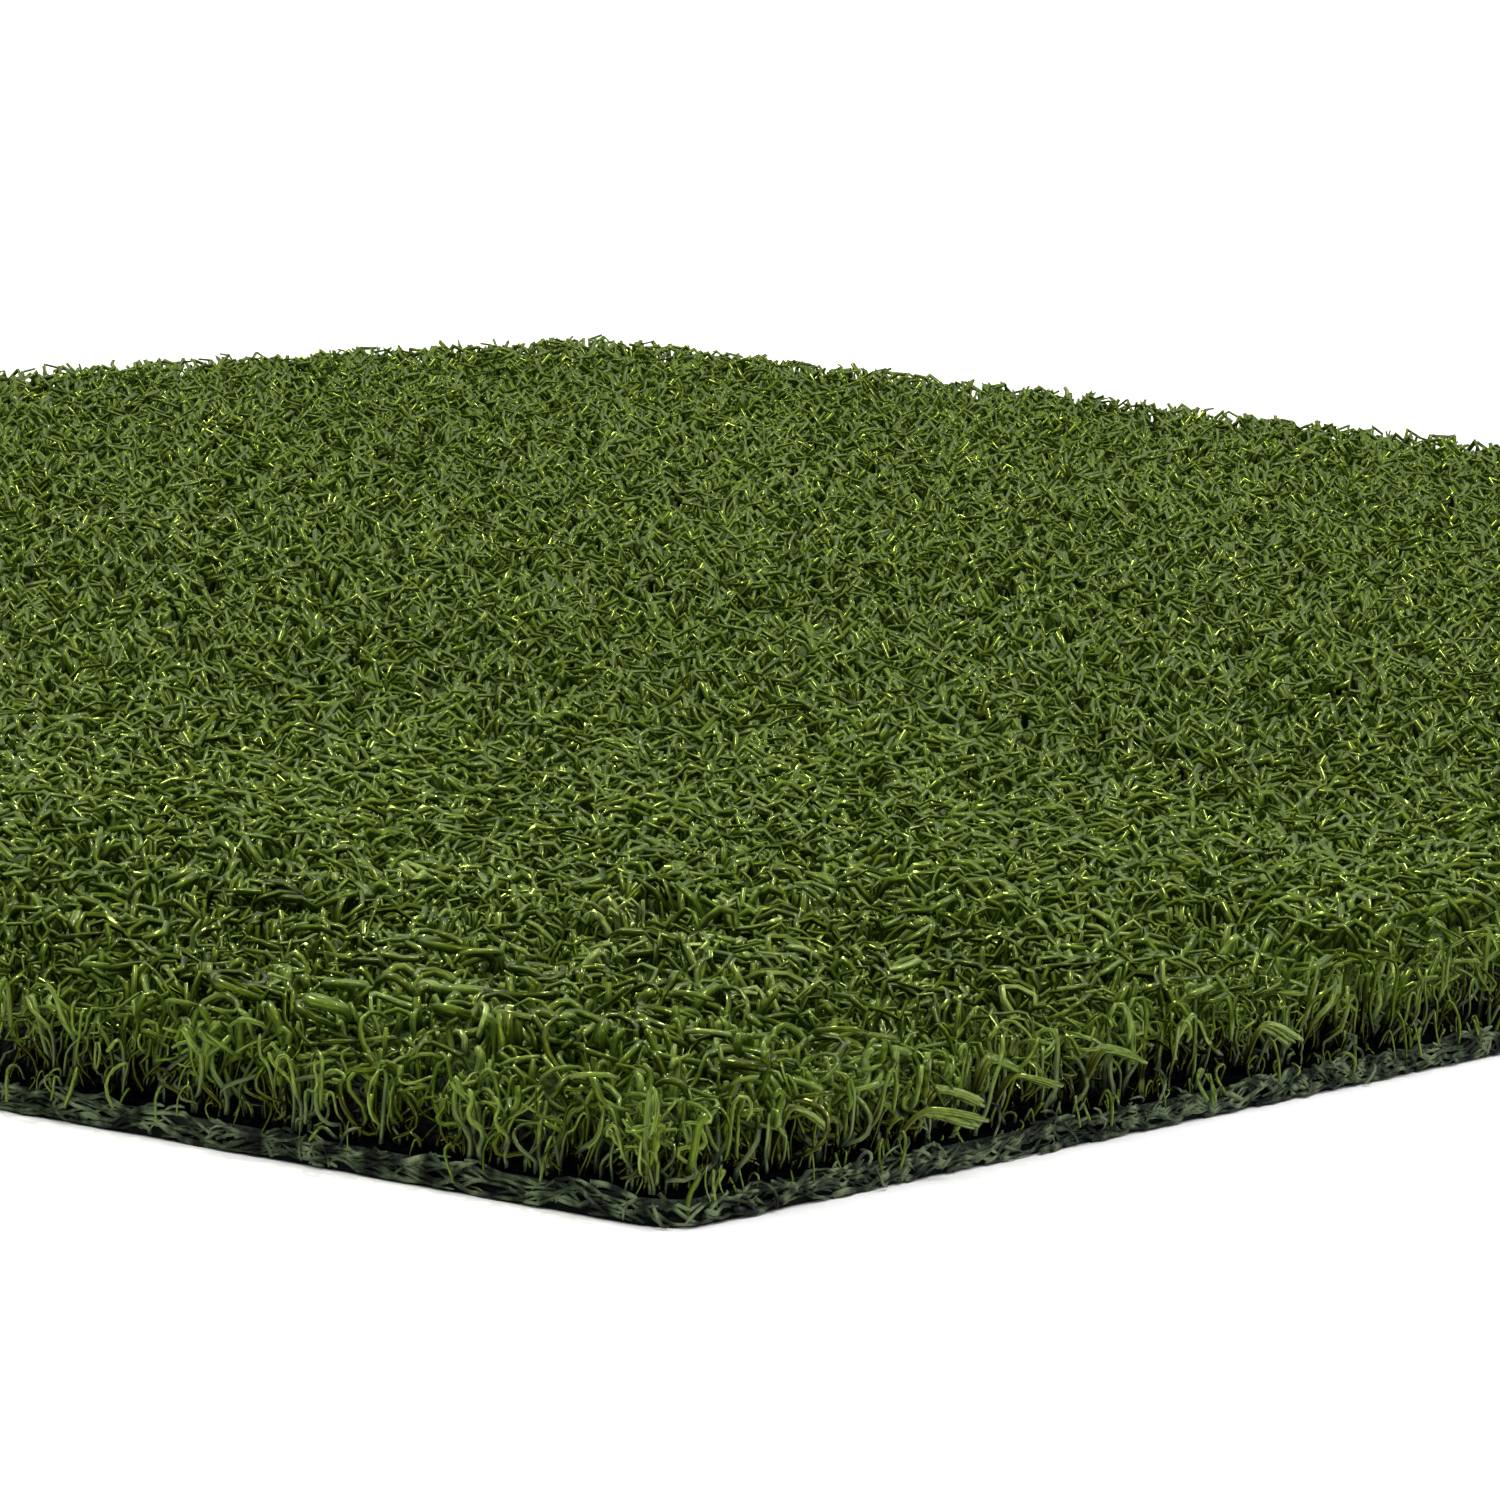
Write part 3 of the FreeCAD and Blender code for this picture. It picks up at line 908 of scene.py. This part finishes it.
# Bundles that the crimping left fused, fallen over the near long edge. Each is its distance
# along the edge, its inset, its height above the backing, its heading from the edge in
# degrees, and its length, all but the heading in mm.
FUSED_BUNDLES = [
    (24, 2.5, 8.0, -12, 11), (52, 1.5, 4.5, -22, 14), (56, 1.8, 7.0, -12, 13), (69, 1.5, 9.5, -8, 12),
    (74, 1.5, 7.0, -24, 12), (97, 1.8, 8.0, -15, 11), (112, 1.2, 9.5, 62, 10), (141, 2.0, 6.5, -12, 11),
]
BUNDLE_RIBS = 5
BUNDLE_STEPS = 14


def lay_fused_bundles(material):
    """Flat bundles of fibres side by side that stand out of a stitch and lie over to one side."""
    dice = random.Random(83)
    bundles = bmesh.new()
    counts, bands = [], []
    for along, inset, height, heading, length in FUSED_BUNDLES:
        root = NEAR_CORNER + Vector((along * MM, inset * MM, ROOT_FLOOR))
        way = Vector((math.cos(math.radians(heading)), math.sin(math.radians(heading)), 0))
        flat = Vector((-way.y, way.x, dice.uniform(-1.2, 1.2))).normalized()
        sag = dice.uniform(0.5, 1.0)
        for rib in range(BUNDLE_RIBS):
            aside = (rib - (BUNDLE_RIBS - 1) / 2) * dice.uniform(0.4, 0.55)
            part = length * dice.uniform(0.75, 1.05)
            line = []
            for step in range(BUNDLE_STEPS + 1):
                t = step / BUNDLE_STEPS
                up = height * (min(1, t / 0.4) ** 0.7 - sag * max(0, t - 0.35) ** 2)
                open_up = 0.35 + 0.65 * t + 0.25 * math.sin(3 * t + rib)
                line.append(root + (way * part * t ** 1.4 + flat * aside * open_up
                                    + Vector((0, 0, up))) * MM)
            width = dice.uniform(0.55, 0.8) * MM
            counts.append(merge_strand(bundles, sweep(line, width, 0.6 * width, sides=4, tip=0.6)))
            bands.append(dice.randint(9, 14))
    piece = add_piece("fused_bundles", bundles, material)
    shift_bands(piece.data, counts, bands)
    return piece


# ---------------------------------------------------------------- studio

# the floor is a hair below the base, so that the two faces don't lie in one plane
FLOOR_DROP = 0.1 * MM
FLOOR_REACH = 30


def make_floor():
    """White paper under the mat, wide enough to run out of every view."""
    shape = bmesh.new()
    verts = bmesh.ops.create_grid(shape, x_segments=1, y_segments=1, size=FLOOR_REACH)["verts"]
    bmesh.ops.translate(shape, verts=verts, vec=(0, 0, -FLOOR_DROP))
    mesh = mesh_of("studio_floor", shape)
    mesh.materials.append(matt_white_paper())
    floor = bpy.data.objects.new("studio_floor", mesh)
    bpy.context.scene.collection.objects.link(floor)


LAMP_SIZE = 0.12


def add_light(name, place, watts, target, colour="#ffffff"):
    """A small square lamp at a place, aimed at a point on the mat."""
    light = bpy.data.lights.new(name, "AREA")
    light.size = LAMP_SIZE
    light.energy = watts
    light.color = linear(colour)[:3]
    lamp = bpy.data.objects.new(name, light)
    lamp.location = place
    lamp.rotation_euler = (Vector(target) - Vector(place)).to_track_quat("-Z", "Y").to_euler()
    bpy.context.scene.collection.objects.link(lamp)


# strength of the sky's light at the horizon and overhead, and where it grows from the one to
# the other, as the sine of the elevation
HORIZON_LIGHT = 0.06
ZENITH_LIGHT = 1.6
LOW_SKY = 0.15
HIGH_SKY = 0.9


def light_studio():
    """A wide soft box overhead and three small lamps."""
    scene = bpy.context.scene
    scene.view_settings.view_transform = "Standard"
    world = bpy.data.worlds.new("studio")
    scene.world = world
    world.use_nodes = True
    background = world.node_tree.nodes["Background"]
    background.inputs["Color"].default_value = (1, 1, 1, 1)
    # what lights the mat falls off towards the horizon, and what is seen behind it stays white
    place = add_node(world, "ShaderNodeTexCoord")
    split = add_node(world, "ShaderNodeSeparateXYZ", Vector=place.outputs["Generated"])
    overhead = add_node(world, "ShaderNodeMapRange",
                        {"From Min": LOW_SKY, "From Max": HIGH_SKY,
                         "To Min": HORIZON_LIGHT, "To Max": ZENITH_LIGHT},
                        Value=split.outputs["Z"])
    ray = add_node(world, "ShaderNodeLightPath")
    level = add_node(world, "ShaderNodeMix", {"data_type": "FLOAT"},
                     at0=ray.outputs["Is Camera Ray"], at2=overhead.outputs[0], at3=1.0)
    world.node_tree.links.new(level.outputs[0], background.inputs["Strength"])
    add_light("key", (0.0, 0.9, 1.9), 22, (-0.2, -0.1, 0), "#f6ffc8")
    add_light("front", (-1.3, -1.3, 1.9), 8, (-0.4, -0.2, 0))
    add_light("side", (0.9, -0.8, 1.8), 10, (-0.3, -0.2, 0))


CAMERA_FROM_CORNER = Vector((-0.860, -0.534, 0.184))
CAMERA_LENS_MM = 210.8
# which way it looks from the X axis, how far down, and how far it is turned about its own axis
CAMERA_HEADING = math.radians(31.562)
CAMERA_DIP = math.radians(7.136)
CAMERA_ROLL = math.radians(3.958)


def place_camera():
    """Looks low across the mat from outside its near corner."""
    camera = bpy.data.objects.new("camera", bpy.data.cameras.new("camera"))
    bpy.context.scene.collection.objects.link(camera)
    bpy.context.scene.camera = camera
    camera.data.sensor_width = 36
    camera.data.lens = CAMERA_LENS_MM
    camera.data.clip_end = 100
    level = math.cos(CAMERA_DIP)
    ahead = Vector((level * math.cos(CAMERA_HEADING), level * math.sin(CAMERA_HEADING),
                    -math.sin(CAMERA_DIP)))
    level_right = ahead.cross(Vector((0, 0, 1))).normalized()
    level_up = level_right.cross(ahead)
    right = level_right * math.cos(CAMERA_ROLL) + level_up * math.sin(CAMERA_ROLL)
    up = right.cross(ahead)
    turn = Matrix((right, up, -ahead)).transposed().to_4x4()
    camera.matrix_world = Matrix.Translation(NEAR_CORNER + CAMERA_FROM_CORNER) @ turn


nylon = crimped_nylon()
dulled = latexed_yarn()
plant_pile(nylon)
stand_edge_stalks(nylon)
lay_fused_bundles(nylon)
make_pile_bed(matted_nylon())
lay_edge_yarns(dulled)
fray_threads(dulled)

secondary_weave = woven_tape("secondary_cloth_weave", 1.6 * MM, "#040506", "#14191a", 0.7)
# the primary cloth is black polypropylene, darkened further to near-black as painted shade, so that the
# voids under the pile read black
primary_weave = woven_tape("primary_backing_weave", 1.3 * MM, "#010202", "#07090b", 0.6)
lay_layer("rubber_base", "base_coat", pebbled_rubber(),
          inset=0.4 * MM, ragged=0.45 * MM, lifted=0.75 * MM)
secondary = lay_layer("secondary_cloth", "secondary_backing", secondary_weave,
                      inset=0.7 * MM, ragged=0.3 * MM)
lay_layer("latex_coat", "lock_coat", foamed_latex(), inset=0.8 * MM, ragged=0.3 * MM)
primary = lay_layer("woven_primary", "primary_backing", primary_weave,
                    inset=0.9 * MM, ragged=0.35 * MM)
make_floor()
light_studio()
place_camera()
